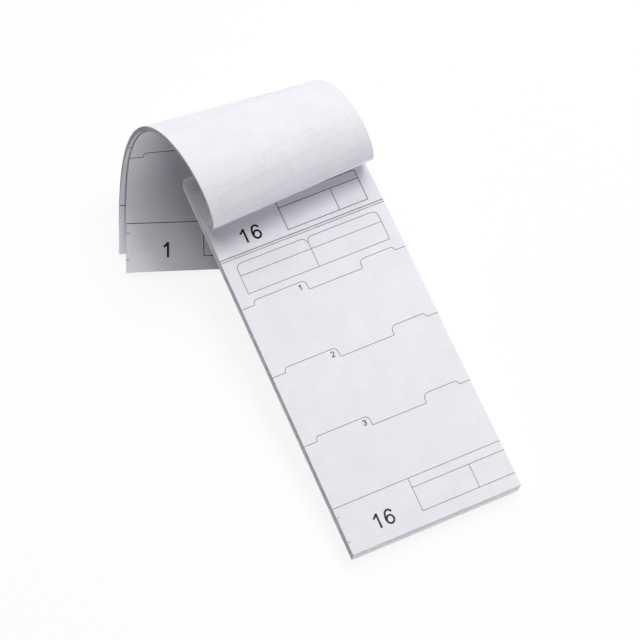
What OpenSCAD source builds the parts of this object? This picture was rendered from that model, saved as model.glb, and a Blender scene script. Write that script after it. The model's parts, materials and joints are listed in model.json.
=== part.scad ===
// Service ticket pad: fifty perforated tickets glued along one short edge to a
// backing board. The first fifteen are turned over the bound end in an open
// loop. Their ends reach the table, so the bound end leans on them and the pad
// stands on its foot edge, like an easel.
// All sizes are in millimetres. +Z is up, +Y runs from the foot to the bound
// end, and the origin is the middle of the board's foot edge on the table.

/* [Ticket] */
// Width of a ticket
ticket_w = 63.5; // [58:0.5:70]
// Length of a ticket from its foot to the bound edge
ticket_l = 149.2; // [144:0.2:156]
// Thickness of the paper
paper_t = 0.11; // [0.08:0.01:0.13]
// Air between two sheets
sheet_air = 0.01; // [0.01:0.01:0.03]
// Length of the stub, from the bound edge to the perforation
stub_l = 33.9; // [31:0.1:39]
// Width of a perforation or fold line
line_w = 0.3; // [0.25:0.05:0.5]

/* [Pad] */
// Thickness of the backing board
board_t = 3; // [2.5:0.1:3.5]
// Thickness of the glue film on the bound end
glue_t = 0.3; // [0.2:0.05:0.6]

/* [Turned stubs] */
// Distance from the bound end to the line where the turned tickets lift off
lift_run = 6.8; // [6:0.1:8]
// Height of the hump in the turned stubs at the left edge
hump_left = 2.9; // [2.5:0.1:3.4]
// Height of the hump in the turned stubs at the right edge
hump_right = 4.3; // [3.8:0.1:4.8]

/* [Loop of turned tickets] */
// Bend radius where the tickets lift off the pad
r_lift = 35; // [30:0.5:40]
// Bend radius at the front of the loop
r_front = 11.5; // [10.5:0.5:12.5]
// Bend radius over the top
r_top = 26; // [24.5:0.5:27.5]
// Bend radius behind the bound end
r_back = 29; // [27.5:0.5:30.5]
// Bend radius near the ticket ends, before they lie flat on the table
r_end = 28.5; // [27:0.5:30]
// Slant of the bend lines half way round the loop, in degrees
slant_top = -12.6; // [-14.6:0.2:-10.6]
// Slant of the bend lines at the ticket ends, in degrees
slant_end = -20.6; // [-23:0.2:-18]
// How far the end of the innermost ticket springs away from the others
curl_in = 1.2; // [0.7:0.1:1.7]
// How far the end of the innermost ticket has slipped to the right
slip_right = 2.5; // [1:0.1:4]

/* [Hidden] */
tickets = 50;
turned = 15;
bend = 9;              // turn between two facets of the loop, in degrees
facet_max = 6;         // longest facet, where the ticket ends are flat
lift_folds = 10;       // bend lines between the lift-off line and the perforation
flat_w = 4.6;          // flat strip along the perforation of a turned ticket
hump_rows = 12;        // strips along the hump of a turned stub
crest = 0.7;           // under 1 puts the hump's crest nearer the bound end
part_way = [0, 0.12, 0.4, 0.75, 0.92];   // places of the five bend radii along the loop
flat_from = 1.08;      // place where the ticket ends are flat
reach = 1.27;          // end of the bend lines, in ticket lengths: inner tickets reach further

pitch = paper_t + sheet_air;
half_w = ticket_w / 2;
perforation_y = ticket_l - stub_l;
function sheet_z(k) = board_t + sheet_air + (tickets - k) * pitch;
bundle_z = sheet_z(1) + paper_t;
function ticket_name(k) = str("ticket_", k < 10 ? "0" : "", k);

function sum(v, i = 0) = i < len(v) ? v[i] + sum(v, i + 1) : 0;
function mix(a, b, f) = a + (b - a) * f;
function turn(v, a, n) = v * cos(a) + cross(n, v) * sin(a) + n * (n * v) * (1 - cos(a));

// Hump of a turned stub: height over the page at the fraction t of its run
function hump(h, t) = h * pow(sin(180 * pow(t, crest)), 2);
function stub_paper(h) = sum([for (j = [1:hump_rows])
    norm([lift_run / hump_rows, hump(h, j / hump_rows) - hump(h, (j - 1) / hump_rows)])]);
paper_left = stub_paper(hump_left);
paper_right = stub_paper(hump_right);
// The unequal humps slew the tickets a little at the lift-off line
s_lift = (paper_left + paper_right) / 2;
skew = atan((paper_right - paper_left) / ticket_w);

// Bend radius and slant of the bend line at the distance s from the bound edge
function part_of(s) = (s - s_lift) / (ticket_l - s_lift);
function curvature(s) = lookup(part_of(s), concat([for (i = [0:4])
    [part_way[i], 1 / [r_lift, r_front, r_top, r_back, r_end][i]]], [[flat_from, 0]]));
function slant(s) = lookup(part_of(s), [[0, skew], [0.5, slant_top], [1, slant_end]]);
bend_rad = bend * PI / 180;
function facet(c) = c * facet_max > bend_rad ? bend_rad / c : facet_max;
function step(s) = facet(curvature(s + facet(curvature(s)) / 2));

// Bend lines by their distance from the bound edge: even ones up to the flat
// strip along the perforation, its two sides, then one in the middle of each facet run
lift_step = (stub_l - flat_w / 2 - s_lift) / lift_folds;
function runs(s) = s > reach * ticket_l ? [s] : concat([s], runs(s + step(s)));
run_s = runs(stub_l + flat_w / 2);
fold_s = concat([for (i = [0:lift_folds - 1]) s_lift + (i + 0.5) * lift_step],
    [stub_l - flat_w / 2, run_s[0]], [for (i = [1:len(run_s) - 1]) (run_s[i - 1] + run_s[i]) / 2]);
function fold_turn(i) = 180 / PI * (i < lift_folds ? curvature(fold_s[i]) * lift_step :
    i < lift_folds + 2 ? curvature(stub_l) * flat_w / 2 :
    curvature(fold_s[i]) * (run_s[i - lift_folds - 1] - run_s[i - lift_folds - 2]));

// The outermost turned ticket, folded from flat paper along one bend line after
// the other: [s, slant, point on the middle line, direction, normal, turn, mitre,
// paper axes after the fold]
lift_point = [0, ticket_l - lift_run, sheet_z(turned)];
along = [sin(skew), -cos(skew), 0];
function folds(i, p, u, v, a) = i == len(fold_s) ? [] :
    let (s = fold_s[i], b = fold_turn(i), d = u * cos(slant(s)) + v * sin(slant(s)),
         u2 = turn(u, -b, d), v2 = turn(v, -b, d), on = i + 1 < len(fold_s) ? fold_s[i + 1] - s : 0)
    concat([[s, slant(s), p, d, turn(cross(u, v), -b / 2, d), a + b / 2, cos(b / 2), u2, v2]],
           folds(i + 1, p + v2 * on, u2, v2, a + b));
fold_rows = folds(0, lift_point + along * (fold_s[0] - s_lift), [cos(skew), sin(skew), 0], along, 0);
turn_by_s = [for (r = fold_rows) [r[0], r[5] * PI / 180]];

// The perforation lies square across the flat strip
before = fold_rows[lift_folds];
perf_point = before[2] + before[8] * (flat_w / 2);
perf_axis = before[7];
function perf_row(e) = [stub_l + e, 0, perf_point + before[8] * e, perf_axis,
    cross(perf_axis, before[8]), before[5] + fold_turn(lift_folds) / 2, 1];
slip_rows = concat([perf_row(line_w / 2)], [for (i = [lift_folds + 1:len(fold_rows) - 1]) fold_rows[i]]);

// Place of turned ticket k in the bundle: inward offset and sideways slip at a bend line
function ramp(r) = pow(min(max((r[0] - stub_l) / perforation_y, 0), 1), 2);
function inset(k, r) = (turned - k) * pitch + (k == 1 ? curl_in * ramp(r) : 0);
function slip(k, r) = (k == 1 ? slip_right : 0.2 * sin(137 * k)) * ramp(r);
function on_row(r, u, o) = r[2] + r[3] * ((u - half_w) / cos(r[1])) - r[4] * (o / r[6]);
function s_at(r, u) = r[0] + tan(r[1]) * (u - half_w);
// An inner ticket lies on a shorter way round, so its end reaches further
function end_s(k) =
    let (o = (turned - k) * pitch + (k == 1 ? curl_in : 0),
         once = ticket_l + o * lookup(ticket_l, turn_by_s))
    ticket_l + o * lookup(once, turn_by_s);

// Left and right points of ticket k on each bend line, o inside the outermost
// face. The square foot corner gets a pair of its own, and the last point is the
// other foot corner.
function face_rows(k, o) =
    let (e = end_s(k), rows = slip_rows,
         whole = len([for (r = rows) if (s_at(r, slip(k, r)) <= e) 1]),
         used = len([for (r = rows) if (s_at(r, ticket_w + slip(k, r)) < e) 1]),
         lefts = [for (r = rows) on_row(r, slip(k, r), inset(k, r) + o)],
         rights = [for (r = rows) on_row(r, ticket_w + slip(k, r), inset(k, r) + o)],
         a = rows[whole - 1], b = rows[whole], c = rows[used - 1], d = rows[used],
         f = (e - s_at(a, slip(k, a))) / (s_at(b, slip(k, b)) - s_at(a, slip(k, a))),
         g = (e - s_at(c, ticket_w + slip(k, c)))
             / (s_at(d, ticket_w + slip(k, d)) - s_at(c, ticket_w + slip(k, c))))
    concat([for (i = [0:whole - 1]) [lefts[i], rights[i]]],
           [[mix(lefts[whole - 1], lefts[whole], f), mix(rights[whole - 1], rights[whole], f)]],
           [for (i = [whole:used - 1]) let (r = rows[i])
               [on_row(r, half_w + (e - r[0]) / tan(r[1]), inset(k, r) + o), rights[i]]],
           [[mix(rights[used - 1], rights[used], g)]]);

// The pad tilts until every turned ticket is on or above the table
tilt = max([for (k = [1:turned]) for (r = face_rows(k, 0)) for (p = r) atan2(-p[2], p[1])]);
module on_table() rotate([tilt, 0, 0]) children();

// Closed sheet between an outer and an inner list of left and right points. A
// last entry with one point closes the sheet in a corner.
module sheet(outer, inner) {
    tip = len(outer[len(outer) - 1]) == 1;
    n = tip ? len(outer) - 1 : len(outer);
    points = concat([for (i = [0:n - 1]) for (p = [outer[i][0], outer[i][1], inner[i][0], inner[i][1]]) p],
                    tip ? [outer[n][0], inner[n][0]] : []);
    m = 4 * (n - 1);
    faces = concat(
        [[0, 2, 3], [0, 3, 1]],
        [for (i = [0:n - 2]) let (a = 4 * i, b = a + 4) for (f = [
            [a, a + 1, b + 1], [a, b + 1, b], [a + 2, b + 3, a + 3], [a + 2, b + 2, b + 3],
            [a, b, b + 2], [a, b + 2, a + 2], [a + 1, b + 3, b + 1], [a + 1, a + 3, b + 3]]) f],
        tip ? [[m, m + 1, m + 4], [m + 2, m + 5, m + 3], [m, m + 4, m + 5], [m, m + 5, m + 2],
               [m + 1, m + 5, m + 4], [m + 1, m + 3, m + 5]]
            : [[m, m + 3, m + 2], [m, m + 1, m + 3]]);
    polyhedron(points, [for (f = faces) [f[2], f[1], f[0]]]);
}

module flat_sheet(k, y0, y1)
    translate([-half_w, y0, sheet_z(k)]) cube([ticket_w, y1 - y0, paper_t]);

module backing_board() color("lightgray") on_table()
    translate([-half_w, 0, 0]) cube([ticket_w, ticket_l, board_t]);

module spine_glue() color("gainsboro") on_table()
    translate([-half_w, ticket_l + sheet_air, 0]) cube([ticket_w, glue_t, bundle_z]);

module flat_ticket(k) color("white") on_table() flat_sheet(k, 0, ticket_l);

module ticket_slip(k) color("white") on_table() flat_sheet(k, 0, perforation_y - line_w / 2);

module ticket_stub(k) color("white") on_table() flat_sheet(k, perforation_y + line_w / 2, ticket_l);

// Stub of turned ticket k: up over the hump, down to the lift-off line and round
// the front of the loop to the perforation
module turned_stub(k) {
    function humped(t, z) = [[-half_w, ticket_l - lift_run * t, z + hump(hump_left, t)],
                             [half_w, ticket_l - lift_run * t, z + hump(hump_right, t)]];
    function folded(r, o) = [on_row(r, 0, o), on_row(r, ticket_w, o)];
    function face(o) = concat([for (j = [0:hump_rows]) humped(j / hump_rows, sheet_z(turned) + o)],
        [for (i = [0:lift_folds]) folded(fold_rows[i], o)], [folded(perf_row(-line_w / 2), o)]);
    o = (turned - k) * pitch;
    color("white") on_table() sheet(face(o), face(o + paper_t));
}

module turned_slip(k) color("white") on_table() sheet(face_rows(k, 0), face_rows(k, paper_t));

module turned_stubs() for (k = [2:turned - 1]) turned_stub(k);

backing_board();
spine_glue();
for (k = [turned + 3:tickets]) flat_ticket(k);
ticket_stub(17);  // ticket_17_stub
ticket_slip(17);  // ticket_17_slip
ticket_stub(16);  // ticket_16_stub
ticket_slip(16);  // ticket_16_slip
turned_stub(15);  // ticket_15_stub
turned_stubs();
turned_stub(1);  // ticket_01_stub
for (k = [1:turned]) turned_slip(k);
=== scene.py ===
# Looks of the ticket pad: fine paper sheets, print, board, glue and studio light.
import bpy
import json
import math
import random
import numpy as np
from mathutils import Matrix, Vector

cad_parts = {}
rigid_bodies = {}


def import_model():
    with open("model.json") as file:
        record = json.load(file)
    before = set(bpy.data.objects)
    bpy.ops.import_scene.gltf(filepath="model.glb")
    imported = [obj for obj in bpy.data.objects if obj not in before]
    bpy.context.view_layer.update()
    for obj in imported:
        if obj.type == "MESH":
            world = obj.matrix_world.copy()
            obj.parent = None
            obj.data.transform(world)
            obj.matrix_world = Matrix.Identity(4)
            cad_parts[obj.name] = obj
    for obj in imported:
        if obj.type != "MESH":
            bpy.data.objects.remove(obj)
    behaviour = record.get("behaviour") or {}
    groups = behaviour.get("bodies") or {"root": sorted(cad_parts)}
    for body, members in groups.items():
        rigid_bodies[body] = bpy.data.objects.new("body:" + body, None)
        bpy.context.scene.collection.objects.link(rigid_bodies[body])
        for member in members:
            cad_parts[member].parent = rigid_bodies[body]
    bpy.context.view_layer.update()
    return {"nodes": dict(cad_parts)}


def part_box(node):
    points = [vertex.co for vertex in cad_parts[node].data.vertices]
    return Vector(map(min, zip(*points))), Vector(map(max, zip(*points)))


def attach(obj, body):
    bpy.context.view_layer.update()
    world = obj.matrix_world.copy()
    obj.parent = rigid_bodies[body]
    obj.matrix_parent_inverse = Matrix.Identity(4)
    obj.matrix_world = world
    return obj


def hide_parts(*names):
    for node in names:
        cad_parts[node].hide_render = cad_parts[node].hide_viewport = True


bpy.ops.object.select_all(action="SELECT")
bpy.ops.object.delete()

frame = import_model()
scene = bpy.context.scene
scene.view_settings.view_transform = "Standard"
random.seed(16)


def deselectAll():
    if bpy.context.object and bpy.context.object.mode != "OBJECT":
        bpy.ops.object.mode_set(mode="OBJECT")
    bpy.ops.object.select_all(action="DESELECT")


def pick(piece):
    deselectAll()
    piece.select_set(True)
    bpy.context.view_layer.objects.active = piece


shot = {"place": (-0.16269, -0.25673, 0.75140), "turn": (26.823, -0.308, -24.056), "lens": 131.5,
        "sensor": 36}

bpy.ops.object.camera_add(location=shot["place"], rotation=[math.radians(a) for a in shot["turn"]])
camera = bpy.context.object
camera.data.lens = shot["lens"]
camera.data.sensor_width = shot["sensor"]
scene.camera = camera
print("camera set")

floorLook = {"side": 20, "drop": 0.0002, "tone": (0.86, 0.84, 0.87, 1), "seenTone": (0.95, 0.95, 0.95, 1),
             "glow": 0.88, "rough": 0.9, "specular": 0.1}
lamps = {
    "back": {"place": (0.1, 0.85, 1.22), "size": 1.6, "power": 15.8},
    "key": {"place": (0.6, 0.2, 1.25), "size": 0.6, "power": 9.4},
    "front": {"place": (0.2, -1.4, 0.14), "size": 0.6, "power": 8.6},
    "side": {"place": (0.9, -0.9, 0.6), "size": 0.8, "power": 1.4},
}
lampAim = (0, 0.09, 0.01)
skyLook = {"tone": (0.97, 0.97, 1, 1), "strength": 0.01, "seen": (0.89, 0.89, 0.89, 1)}


def valueNode(nodes, operation, second=None):
    node = nodes.new("ShaderNodeMath")
    node.operation = operation
    if second is not None:
        node.inputs[1].default_value = second
    return node


def seenMask(nodes, links):      # 1 for what the lens, a gloss or a clear piece sees
    path = nodes.new("ShaderNodeLightPath")
    both = valueNode(nodes, "MAXIMUM")
    links.new(path.outputs["Is Camera Ray"], both.inputs[0])
    links.new(path.outputs["Is Glossy Ray"], both.inputs[1])
    every = valueNode(nodes, "MAXIMUM")
    links.new(both.outputs[0], every.inputs[0])
    links.new(path.outputs["Is Transmission Ray"], every.inputs[1])
    return every.outputs[0]


def makeFloor():
    deselectAll()
    bpy.ops.mesh.primitive_plane_add(size=floorLook["side"], location=(0, 0, -floorLook["drop"]))
    floor = bpy.context.object
    floor.name = "floor"
    look = bpy.data.materials.new("paleFloor")
    look.use_nodes = True
    nodes, links = look.node_tree.nodes, look.node_tree.links
    shader = nodes["Principled BSDF"]
    shader.inputs["Roughness"].default_value = floorLook["rough"]
    shader.inputs["Specular IOR Level"].default_value = floorLook["specular"]
    glow = nodes.new("ShaderNodeEmission")
    glow.inputs["Strength"].default_value = 1
    seen = seenMask(nodes, links)
    shade = nodes.new("ShaderNodeMix")
    shade.data_type = "RGBA"
    shade.inputs["A"].default_value = floorLook["tone"]
    shade.inputs["B"].default_value = floorLook["seenTone"]
    links.new(seen, shade.inputs["Factor"])
    links.new(shade.outputs["Result"], shader.inputs["Base Color"])
    part = valueNode(nodes, "MULTIPLY", floorLook["glow"])
    links.new(seen, part.inputs[0])
    mix = nodes.new("ShaderNodeMixShader")
    links.new(part.outputs[0], mix.inputs["Fac"])
    links.new(shader.outputs[0], mix.inputs[1])
    links.new(glow.outputs[0], mix.inputs[2])
    links.new(mix.outputs[0], nodes["Material Output"].inputs["Surface"])
    floor.data.materials.append(look)


def softBox(name, place, size, power):
    bpy.ops.object.light_add(type="AREA", location=place)
    lamp = bpy.context.object
    lamp.name = name
    lamp.data.size = size
    lamp.data.energy = power
    aim = Vector(lampAim) - Vector(place)
    lamp.rotation_euler = aim.to_track_quat("-Z", "Y").to_euler()


def setSky():
    world = bpy.data.worlds.new("studioSky")
    scene.world = world
    world.use_nodes = True
    nodes, links = world.node_tree.nodes, world.node_tree.links
    sky = nodes["Background"]
    sky.inputs["Color"].default_value = skyLook["tone"]
    sky.inputs["Strength"].default_value = skyLook["strength"]
    white = nodes.new("ShaderNodeBackground")
    white.inputs["Color"].default_value = skyLook["seen"]
    white.inputs["Strength"].default_value = 1
    mix = nodes.new("ShaderNodeMixShader")
    links.new(seenMask(nodes, links), mix.inputs["Fac"])
    links.new(sky.outputs[0], mix.inputs[1])
    links.new(white.outputs[0], mix.inputs[2])
    links.new(mix.outputs[0], nodes["World Output"].inputs["Surface"])


makeFloor()
for lampName in lamps:
    softBox(lampName, **lamps[lampName])
setSky()
print("floor and light set")

# sizes in mm, before the pad is tilted onto its turned tickets
mm = 0.001
ticket = {"width": 63.5, "length": 149.2, "stub": 33.9, "paper": 0.11, "pitch": 0.12, "count": 50,
          "outermost": 15, "firstFlat": 18}
pad = {"boardHigh": 3, "air": 0.01}
loop = {"liftRun": 6.8, "humps": (2.9, 4.3), "crest": 0.7, "humpSpots": 13,
        "partWay": (0, 0.12, 0.4, 0.75, 0.92, 1.08), "radii": (35, 11.5, 26, 29, 28.5, 1e6),
        "slantWay": (0, 0.5, 1), "slantTop": -12.6, "slantEnd": -20.6, "reach": 1.27, "step": 0.25,
        "curlIn": 1.2, "slipRight": 2.5, "stray": 0.2, "strayTurn": 137}

wide, long, stubLong = ticket["width"], ticket["length"], ticket["stub"]
slipLong = long - stubLong
half = wide / 2
sheet, pitch = ticket["paper"], ticket["pitch"]
outermost, firstFlat = ticket["outermost"], ticket["firstFlat"]
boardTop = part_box("backing_board")[1].z * 1000
tilt = math.asin(boardTop / math.hypot(long, pad["boardHigh"])) - math.atan(pad["boardHigh"] / long)


def sheetZ(k):
    return pad["boardHigh"] + pad["air"] + (ticket["count"] - k) * pitch


def onTable(spots):              # pad in mm to the tilted pad in metres
    c, s = math.cos(tilt), math.sin(tilt)
    x, y, z = spots[:, 0], spots[:, 1], spots[:, 2]
    return np.stack([x, y * c - z * s, y * s + z * c], 1) * mm


def humpHeight(t, across):       # across runs 0 at the left edge to 1 at the right
    high = loop["humps"][0] + (loop["humps"][1] - loop["humps"][0]) * across
    return high * np.sin(np.pi * np.power(t, loop["crest"])) ** 2


def humpPaper(across):
    t = np.linspace(0, 1, loop["humpSpots"])
    z = humpHeight(t, across)
    return np.hypot(np.diff(t) * loop["liftRun"], np.diff(z)).sum()


liftS = (humpPaper(0) + humpPaper(1)) / 2
skew = math.atan((humpPaper(1) - humpPaper(0)) / wide)


def turnAbout(v, angle, axis):
    return (v * math.cos(angle) + np.cross(axis, v) * math.sin(angle)
            + axis * np.dot(axis, v) * (1 - math.cos(angle)))


def walkLoop():                  # outermost turned ticket, bent a little at every step
    rows = []
    u = np.array([math.cos(skew), math.sin(skew), 0])
    v = np.array([math.sin(skew), -math.cos(skew), 0])
    spot = np.array([0, long - loop["liftRun"], sheetZ(outermost)])
    s, turned, step = liftS, 0.0, loop["step"]
    while s < long * loop["reach"]:
        part = (s - liftS) / (long - liftS)
        slant = np.interp(part, loop["slantWay"], (skew, math.radians(loop["slantTop"]),
                                                   math.radians(loop["slantEnd"])))
        ruling = u * math.cos(slant) + v * math.sin(slant)
        rows.append([s, slant, turned, *spot, *ruling, *np.cross(u, v)])
        bend = np.interp(part, loop["partWay"], [1 / r for r in loop["radii"]]) * step
        u, v = turnAbout(u, -bend, ruling), turnAbout(v, -bend, ruling)
        spot = spot + v * step
        s, turned = s + step, turned + bend
    return np.array(rows)


loopRows = walkLoop()


def onLoop(u, s, inward):        # paper spot u across, s along from the bound edge
    rows = np.arange(len(loopRows))
    tangent = np.tan(loopRows[:, 1])
    out = np.empty((len(u), 3))
    for i in range(len(u)):
        across = u[i] - half
        row = np.interp(s[i], loopRows[:, 0] + tangent * across, rows)
        low = int(min(row, len(rows) - 2))
        got = loopRows[low] + (loopRows[low + 1] - loopRows[low]) * (row - low)
        out[i] = got[3:6] + got[6:9] * (across / math.cos(got[1])) - got[9:12] * inward[i]
    return out


def turnAt(s):
    return np.interp(s, loopRows[:, 0], loopRows[:, 2])


def slipEnd(k):                  # inner tickets lie on a shorter way round
    inset = (outermost - k) * pitch + (loop["curlIn"] if k == 1 else 0)
    return long + inset * turnAt(long + inset * turnAt(long))


def onSlip(k, u, v, lift):       # v from the foot, lift above the printed face
    s = stubLong + (slipLong - v) * (slipEnd(k) - stubLong) / slipLong
    ramp = np.clip((s - stubLong) / slipLong, 0, 1) ** 2
    inward = (outermost - k) * pitch + sheet + lift + (loop["curlIn"] if k == 1 else 0) * ramp
    stray = loop["stray"] * math.sin(math.radians(loop["strayTurn"] * k))
    aside = (loop["slipRight"] if k == 1 else stray) * ramp
    return onLoop(u + aside, s, inward)


def onStub(k, u, v, lift):       # over the hump, then round the front of the loop
    inward = np.full(len(u), (outermost - k) * pitch + sheet + lift)
    liftLine = liftS + math.tan(skew) * (u - half)
    s = long - v
    t = np.clip(s / liftLine, 0, 1)
    out = np.stack([u - half, long - loop["liftRun"] * t,
                    sheetZ(outermost) + inward + humpHeight(t, u / wide)], 1)
    past = s > liftLine
    out[past] = onLoop(u[past], s[past], inward[past])
    return out


def onFlat(k, u, v, lift):
    return np.stack([u - half, v, np.full(len(u), sheetZ(k) + sheet + lift)], 1)


# noise scale, detail and distortion: cloudy sheet formation, felt marks and fine fibres
fibreMarks = {"Cloud": (130, 3, 0), "Felt": (900, 4, 0.6), "Fibre": (4200, 2, 1.5)}
fibreMix = {"toneLow": 0.35, "toneHigh": 0.65, "fineShare": 0.4, "glossSwing": 0.06, "deep": 0.00003}
paperGrain = tuple(mark[0] for mark in fibreMarks.values())


def makeFibre():
    group = bpy.data.node_groups.new("paperFibre", "ShaderNodeTree")
    for name, mark in fibreMarks.items():
        socket = group.interface.new_socket(name, in_out="INPUT", socket_type="NodeSocketFloat")
        socket.default_value = mark[0]
    group.interface.new_socket("Tone", in_out="OUTPUT", socket_type="NodeSocketFloat")
    group.interface.new_socket("Height", in_out="OUTPUT", socket_type="NodeSocketFloat")
    nodes, links = group.nodes, group.links
    inside, outside = nodes.new("NodeGroupInput"), nodes.new("NodeGroupOutput")
    place = nodes.new("ShaderNodeTexCoord")
    noises = []
    for name, (_, detail, warp) in fibreMarks.items():
        noise = nodes.new("ShaderNodeTexNoise")
        noise.inputs["Detail"].default_value = detail
        noise.inputs["Distortion"].default_value = warp
        links.new(place.outputs["Object"], noise.inputs["Vector"])
        links.new(inside.outputs[name], noise.inputs["Scale"])
        noises.append(noise.outputs["Fac"])
    tone = valueNode(nodes, "ADD")
    links.new(noises[0], tone.inputs[0])
    links.new(noises[1], tone.inputs[1])
    mean = valueNode(nodes, "MULTIPLY", 0.5)
    links.new(tone.outputs[0], mean.inputs[0])
    spread = nodes.new("ShaderNodeMapRange")
    spread.inputs["From Min"].default_value = fibreMix["toneLow"]
    spread.inputs["From Max"].default_value = fibreMix["toneHigh"]
    links.new(mean.outputs[0], spread.inputs["Value"])
    links.new(spread.outputs["Result"], outside.inputs["Tone"])
    fine = valueNode(nodes, "MULTIPLY", fibreMix["fineShare"])
    links.new(noises[2], fine.inputs[0])
    high = valueNode(nodes, "ADD")
    links.new(noises[1], high.inputs[0])
    links.new(fine.outputs[0], high.inputs[1])
    links.new(high.outputs[0], outside.inputs["Height"])
    return group


fibreGroup = makeFibre()


def fibreLook(name, dark, light, rough, bump, grain=paperGrain, specular=0.3):
    look = bpy.data.materials.new(name)
    look.use_nodes = True
    nodes, links = look.node_tree.nodes, look.node_tree.links
    shader = nodes["Principled BSDF"]
    shader.inputs["Specular IOR Level"].default_value = specular
    fibre = nodes.new("ShaderNodeGroup")
    fibre.node_tree = fibreGroup
    for socket, number in zip(fibreMarks, grain):
        fibre.inputs[socket].default_value = number
    shade = nodes.new("ShaderNodeMix")
    shade.data_type = "RGBA"
    shade.inputs["A"].default_value = (*dark, 1)
    shade.inputs["B"].default_value = (*light, 1)
    links.new(fibre.outputs["Tone"], shade.inputs["Factor"])
    links.new(shade.outputs["Result"], shader.inputs["Base Color"])
    gloss = nodes.new("ShaderNodeMapRange")
    gloss.inputs["To Min"].default_value = rough + fibreMix["glossSwing"]
    gloss.inputs["To Max"].default_value = rough - fibreMix["glossSwing"]
    links.new(fibre.outputs["Tone"], gloss.inputs["Value"])
    links.new(gloss.outputs["Result"], shader.inputs["Roughness"])
    relief = nodes.new("ShaderNodeBump")
    relief.inputs["Strength"].default_value = bump
    relief.inputs["Distance"].default_value = fibreMix["deep"]
    links.new(fibre.outputs["Height"], relief.inputs["Height"])
    links.new(relief.outputs["Normal"], shader.inputs["Normal"])
    return look


# dark and light tone, roughness, bump, grain and specular
edgeGrain, inkGrain = (60, 2400, 9000), (300, 2600, 9000)
paperLook = fibreLook("bondPaper", (0.822, 0.813, 0.861), (0.862, 0.853, 0.901), 0.66, 0.25)
edgeLook = fibreLook("cutPaperEdge", (0.83, 0.825, 0.85), (0.91, 0.905, 0.93), 0.85, 0.3, edgeGrain, 0.15)
# the turned tickets' cut edges are darker than the flat ones: painted shade, for the shade in the gaps
# between loose sheets
paintedShadeEdgeLook = fibreLook("paintedShadePaperEdge", (0.57, 0.565, 0.59), (0.67, 0.665, 0.69), 0.85, 0.3,
                           edgeGrain, 0.15)
boardLook = fibreLook("paleBoard", (0.83, 0.825, 0.83), (0.91, 0.905, 0.91), 0.8, 0.5, (220, 1300, 3600), 0.2)
glueLook = fibreLook("padGlue", (0.74, 0.73, 0.70), (0.82, 0.81, 0.79), 0.35, 0.9, (90, 320, 1500), 0.5)
inkLook = fibreLook("blackInk", (0.006, 0.006, 0.008), (0.016, 0.016, 0.019), 0.6, 0.3, inkGrain, 0.1)
# the same ink made greyer for the flat slips: painted sheen, for the ink's sheen where the slips lie in the
# light; the stubs and turned tickets, in shade, keep the black ink
paintedSheenInkLook = fibreLook("paintedSheenInk", (0.046, 0.045, 0.049), (0.066, 0.065, 0.07), 0.6, 0.3, inkGrain, 0.1)
ghostLook = fibreLook("showThrough", (0.783, 0.774, 0.82), (0.822, 0.813, 0.859), 0.66, 0.25)
print("materials made")


def newGrid(name, across, along):
    deselectAll()
    bpy.ops.mesh.primitive_grid_add(x_subdivisions=across, y_subdivisions=along, size=1)
    piece = bpy.context.object
    piece.name = piece.data.name = name
    return piece


def readSpots(piece):
    flat = np.empty(len(piece.data.vertices) * 3)
    piece.data.vertices.foreach_get("co", flat)
    return flat.reshape(-1, 3)


def gridSpots(piece):            # shares of the width and of the length, 0 to 1
    spots = readSpots(piece)
    return spots[:, 0] + 0.5, spots[:, 1] + 0.5


def moveSpots(piece, spots):
    piece.data.vertices.foreach_set("co", onTable(spots).ravel())
    piece.data.update()


sheetMesh = {"slip": (26, 104), "stub": (26, 64), "flat": (6, 12), "smoothAngle": 35}


def finishSheet(piece, edge, body, *nodes):
    piece.data.materials.append(paperLook)
    piece.data.materials.append(edge)
    pick(piece)
    thick = piece.modifiers.new("thickness", "SOLIDIFY")
    thick.thickness = sheet * mm
    thick.offset = -1
    thick.material_offset_rim = 1
    bpy.ops.object.modifier_apply(modifier=thick.name)
    bpy.ops.object.shade_smooth_by_angle(angle=math.radians(sheetMesh["smoothAngle"]))
    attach(piece, body)
    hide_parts(*nodes)


stackSway = {"across": (-0.05, 0.04), "foot": (-0.04, 0.02)}
# half the slit at a perforation, room to turn in
tornGap = {"inner": 0.01, "outer": 0.1, "outerFrom": 14, "flat": 0.04}


def turnedTicket(k):
    gap = tornGap["outer" if k >= tornGap["outerFrom"] else "inner"]
    piece = newGrid(f"slip_{k:02d}_sheet", *sheetMesh["slip"])
    a, b = gridSpots(piece)
    moveSpots(piece, onSlip(k, a * wide, b * (slipLong - gap), 0))
    # edges in the darker edge look, painted shade between loose sheets
    finishSheet(piece, paintedShadeEdgeLook, "turned_slips", f"ticket_{k:02d}_slip")
    piece = newGrid(f"stub_{k:02d}_sheet", *sheetMesh["stub"])
    a, b = gridSpots(piece)
    moveSpots(piece, onStub(k, a * wide, slipLong + gap + b * (stubLong - gap), 0))
    node = f"ticket_{k:02d}_stub" if k in (1, outermost) else "turned_stubs"
    finishSheet(piece, paintedShadeEdgeLook, "pad", node)


def flatPiece(name, k, low, high, body, node):
    piece = newGrid(name, *sheetMesh["flat"])
    a, b = gridSpots(piece)
    spots = onFlat(k, a * wide, low + b * (high - low), 0)
    if k >= firstFlat:           # guillotined stacks are never quite even
        spots[:, 0] += random.uniform(*stackSway["across"])
        spots[:, 1] += random.uniform(*stackSway["foot"]) * (1 - b)
    moveSpots(piece, spots)
    finishSheet(piece, edgeLook, body, node)


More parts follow.
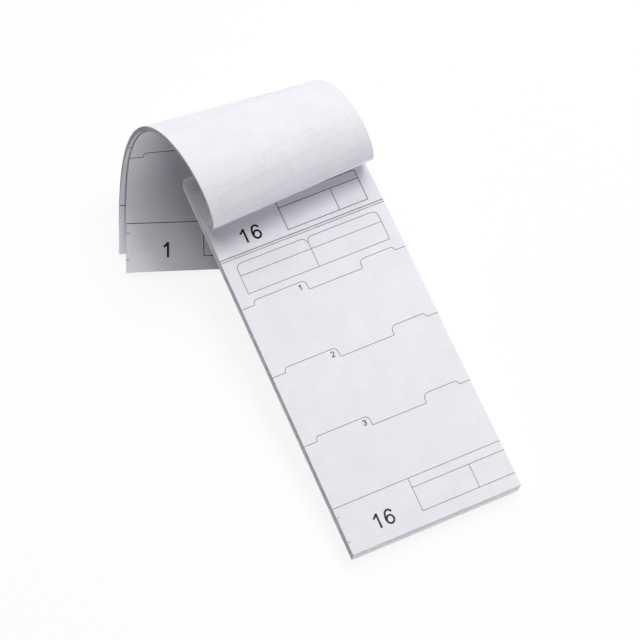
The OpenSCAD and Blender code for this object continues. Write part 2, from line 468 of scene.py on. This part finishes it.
for k in range(outermost, 0, -1):
    turnedTicket(k)
print("turned tickets made")
for k in range(firstFlat, ticket["count"] + 1):
    flatPiece(f"flat_{k}_sheet", k, 0, long, "pad", f"ticket_{k}")
for k, body in ((17, "slip_17"), (16, "slip_16")):
    flatPiece(f"slip_{k}_sheet", k, 0, slipLong - tornGap["flat"], body, f"ticket_{k}_slip")
    flatPiece(f"stub_{k}_sheet", k, slipLong + tornGap["flat"], long, "pad", f"ticket_{k}_stub")
print("flat tickets made")

# print in mm, u from the left edge and v from the foot
form = {
    "line": 0.19, "stubLine": 0.25, "turnedLine": 0.26, "ghostLine": 0.5,
    "lift": 0.008, "coveredLift": 0.004, "curledLift": 0.025,
    "total": 17.35, "totalBox": (28.4, 4.85, 13.8, 50.0), "ticks": (13.9, 4.6), "tickReach": (0.1, 1),
    "services": (96.02, 68.74, 41.52), "doubleLine": (114.8, 115.8),
    "dateBox": (4.6, 59.4, 100.7, 108.0, 112.6, 31.9),
    "stubBox": (27.3, 58.5, 117.8, 126.8, 130.2, 47.5),
}
# u, rise and corner radius along a rule with tabs
serviceTabs = [(0, 0, 0), (5.0, 0, 0.15), (5.0, 1.8, 1.6), (24.9, 1.8, 1.8), (25.2, -1.9, 0.1),
               (45.8, -1.9, 0.15), (45.9, 1.55, 2.3), (58.9, 1.55, 1.3), (59.4, 0, 0.1), (wide, 0, 0)]
dateTabs = {"notch": 2.2, "round": 2.5, "leftEnd": 0.9, "leftRound": 1.8, "rightEnd": 0.5, "rightRound": 2.2}
# stem, second figure, foot and height of the running numbers
numbers = {
    "slip": (12.95, 15.3, 4.8, 5.5), "stub": (12.3, 14.8, 118.7, 5.6), "halfFigure": 0.28,
    "weight": 0.135, "turnedWeight": 0.15,
    "section": {"stem": 22.3, "firstAside": 0.3, "below": 1.2, "high": 2.1, "weight": 0.17},
}
cornerSteps = 6
strokeSteps = (0, 0.2, 0.4, 0.6, 0.8)
mitreLimit = 0.5


def shortSteps(path):            # so that a line follows the curled paper
    fine = [path[0]]
    for spot in path[1:]:
        last = fine[-1]
        parts = max(1, math.ceil((spot - last).length))
        fine += [last.lerp(spot, j / parts) for j in range(1, parts + 1)]
    return fine


def roundedPath(corners):        # each corner is u, v and its radius
    path = []
    for i, (u, v, r) in enumerate(corners):
        here = Vector((u, v))
        if r == 0:
            path.append(here)
            continue
        back = (Vector(corners[i - 1][:2]) - here).normalized()
        on = (Vector(corners[i + 1][:2]) - here).normalized()
        cut = r / math.tan(back.angle(on) / 2)
        start, end = here + back * cut, here + on * cut
        for j in range(cornerSteps + 1):
            f = j / cornerSteps
            path.append(start * (1 - f) ** 2 + here * 2 * f * (1 - f) + end * f ** 2)
    return shortSteps(path)


def straight(u0, v0, u1, v1):
    return roundedPath([(u0, v0, 0), (u1, v1, 0)])


def serviceRule(v):
    return roundedPath([(u, v + rise, r) for u, rise, r in serviceTabs])


def slipRules(ticks=True):
    left, bottom, header, divider = form["totalBox"]
    rules = [straight(0, form["total"], wide, form["total"]),
             roundedPath([(left, form["total"], 0), (left, bottom, 0), (wide, bottom, 0)]),
             straight(left, header, wide, header), straight(divider, bottom, divider, header)]
    if ticks:
        start, end = form["tickReach"]
        rules += [straight(start, v, end, v) for v in form["ticks"]]
    rules += [serviceRule(v) for v in form["services"]]
    rules.append(straight(0, form["doubleLine"][0], wide, form["doubleLine"][0]))
    left, right, bottom, label, top, divider = form["dateBox"]
    notch = top - dateTabs["notch"]
    rules += [roundedPath([(divider, notch, 0), (divider - dateTabs["leftEnd"], top, dateTabs["leftRound"]),
                           (left, top, dateTabs["round"]), (left, bottom, 0), (right, bottom, 0),
                           (right, top, dateTabs["round"]),
                           (divider + dateTabs["rightEnd"], top, dateTabs["rightRound"]),
                           (divider, notch, 0)]),
              straight(divider, notch, divider, bottom), straight(left, label, right, label)]
    return rules


def stubRules():
    left, right, bottom, header, top, divider = form["stubBox"]
    return [straight(0, form["doubleLine"][1], wide, form["doubleLine"][1]),
            roundedPath([(left, top, 0), (left, bottom, 0), (right, bottom, 0), (right, top, 0),
                         (left, top, 0)]),
            straight(left, header, right, header), straight(divider, bottom, divider, header)]


def inkLine(path, thick):        # a strip of cells laid along the path
    deselectAll()
    bpy.ops.mesh.primitive_grid_add(x_subdivisions=len(path) - 1, y_subdivisions=1, size=1)
    strip = bpy.context.object
    spots = readSpots(strip)
    for spot in spots:
        i = round((spot[0] + 0.5) * (len(path) - 1))
        before, after = path[max(i - 1, 0)], path[min(i + 1, len(path) - 1)]
        way = (after - before).normalized()
        if 0 < i < len(path) - 1:      # mitre at a sharp corner
            first, second = (path[i] - before).normalized(), (after - path[i]).normalized()
            share = 1 / max(mitreLimit, math.sqrt((1 + first.dot(second)) / 2))
        else:
            share = 1
        side = Vector((-way.y, way.x)) * (thick / 2 * share * (1 if spot[1] > 0 else -1))
        spot[:] = (path[i].x + side.x, path[i].y + side.y, 0)
    strip.data.vertices.foreach_set("co", spots.ravel())
    return strip


figures = {     # strokes of plain numerals, height 1, a True stroke is rounded
    "1": [(False, [(-0.29, 0.70), (-0.14, 0.80), (-0.01, 0.97)]), (False, [(0, 1), (0, 0)])],
    "2": [(True, [(0.03, 0.70), (0.10, 0.88), (0.29, 0.945), (0.48, 0.87), (0.535, 0.70), (0.45, 0.52),
                  (0.25, 0.32), (0.07, 0.14), (0.03, 0.055)]), (False, [(0.01, 0.055), (0.56, 0.055)])],
    "3": [(True, [(0.035, 0.73), (0.10, 0.88), (0.27, 0.945), (0.45, 0.87), (0.505, 0.73), (0.42, 0.57),
                  (0.22, 0.53)]),
          (True, [(0.24, 0.53), (0.45, 0.46), (0.535, 0.28), (0.45, 0.11), (0.26, 0.055), (0.09, 0.12),
                  (0.03, 0.27)])],
    "5": [(False, [(0.50, 0.945), (0.14, 0.945), (0.075, 0.49)]),
          (True, [(0.075, 0.49), (0.16, 0.59), (0.30, 0.615), (0.47, 0.53), (0.54, 0.33), (0.45, 0.13),
                  (0.27, 0.055), (0.10, 0.12), (0.03, 0.26)])],
    "6": [(True, [(0.53, 0.755), (0.46, 0.89), (0.31, 0.945), (0.13, 0.84), (0.04, 0.50), (0.06, 0.28),
                  (0.14, 0.12), (0.29, 0.055), (0.45, 0.12), (0.53, 0.32), (0.45, 0.52), (0.30, 0.585),
                  (0.14, 0.51), (0.06, 0.34)])],
    "7": [(False, [(0.02, 0.945), (0.545, 0.945)]),
          (True, [(0.535, 0.93), (0.38, 0.70), (0.26, 0.42), (0.20, 0.18), (0.185, 0)])],
    "8": [(True, [(0.285, 0.535), (0.12, 0.60), (0.07, 0.74), (0.14, 0.90), (0.285, 0.945), (0.43, 0.90),
                  (0.50, 0.74), (0.45, 0.60), (0.285, 0.535), (0.10, 0.45), (0.03, 0.29), (0.11, 0.11),
                  (0.285, 0.055), (0.46, 0.11), (0.54, 0.29), (0.47, 0.45), (0.285, 0.535)])],
}


def smoothStroke(spots):         # an even curve through the stroke's spots
    ends = [spots[0]] + spots + [spots[-1]]
    path = []
    for a, b, c, d in zip(ends, ends[1:], ends[2:], ends[3:]):
        for f in strokeSteps:
            path.append(b + 0.5 * f * ((c - a) + f * ((2 * a - 5 * b + 4 * c - d)
                                                      + f * (3 * b - 3 * c + d - a))))
    return path + [spots[-1]]


def numeral(figure, stem, foot, high, weight):
    strips = []
    for rounded, spots in figures[figure]:
        path = [Vector((stem + x * high, foot + y * high)) for x, y in spots]
        path = smoothStroke(path) if rounded else path
        strips.append(inkLine(shortSteps(path), high * weight))
    return strips


def printOn(name, rules, placed, place, look, body, thick):
    strips = [inkLine(path, thick) for path in rules]
    for figure in placed:
        strips += numeral(*figure)
    deselectAll()
    for strip in strips:
        strip.select_set(True)
    bpy.context.view_layer.objects.active = strips[0]
    bpy.ops.object.join()
    piece = bpy.context.object
    piece.name = piece.data.name = name
    spots = readSpots(piece)
    moveSpots(piece, place(np.clip(spots[:, 0], 0, wide), spots[:, 1]))
    piece.data.materials.clear()
    piece.data.materials.append(look)
    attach(piece, body)
    return piece


def numbersFor(k):               # on the slip, then on the stub
    placed = []
    weight = numbers["turnedWeight" if k <= outermost else "weight"]
    for part in ("slip", "stub"):
        stem, second, foot, high = numbers[part]
        if k == 1:
            placed.append([("1", second, foot, high, weight)])
        elif k < 10:
            placed.append([(str(k), second - numbers["halfFigure"] * high, foot, high, weight)])
        else:
            placed.append([("1", stem, foot, high, weight), (str(k)[1], second, foot, high, weight)])
    small = numbers["section"]
    for i, v in enumerate(form["services"]):
        stem = small["stem"] + (small["firstAside"] if i == 0 else 0)
        placed[0].append((str(i + 1), stem, v - small["below"], small["high"], small["weight"]))
    return placed


curledLift = form["curledLift"]
for k in (1, 2):
    slipNumbers, stubNumbers = numbersFor(k)
    printOn(f"slip_{k:02d}_print", slipRules(k == 1), slipNumbers,
            lambda u, v: onSlip(k, u, v, curledLift), inkLook, "turned_slips", form["turnedLine"])
    if k == 1:
        printOn("stub_01_print", stubRules(), stubNumbers,
                lambda u, v: onStub(1, u, v, curledLift), inkLook, "pad", form["turnedLine"])
for k, body in ((16, "slip_16"), (17, "slip_17"), (18, "pad")):
    slipNumbers, stubNumbers = numbersFor(k)
    up = form["lift" if k == 16 else "coveredLift"]
    # slip print in the greyer ink, painted sheen
    printOn(f"slip_{k}_print", slipRules(), slipNumbers,
            lambda u, v: onFlat(k, u, v, up), paintedSheenInkLook, body, form["line"])
    printOn(f"stub_{k}_print", stubRules(), stubNumbers,
            lambda u, v: onFlat(k, u, v, up), inkLook, "pad", form["stubLine"])
showThrough = printOn("slip_15_show_through", slipRules(), numbersFor(outermost)[0],
                      lambda u, v: onSlip(outermost, u, v, -sheet - curledLift), ghostLook,
                      "turned_slips", form["ghostLine"])
pick(showThrough)                # seen from outside, so its faces look the other way
bpy.ops.object.mode_set(mode="EDIT")
bpy.ops.mesh.select_all(action="SELECT")
bpy.ops.mesh.flip_normals()
bpy.ops.object.mode_set(mode="OBJECT")
print("print laid")

# the board and the glue keep their solids
for node, look in (("backing_board", boardLook), ("spine_glue", glueLook)):
    solid = frame["nodes"][node]
    solid.data.materials.clear()
    solid.data.materials.append(look)
print("board and glue dressed")
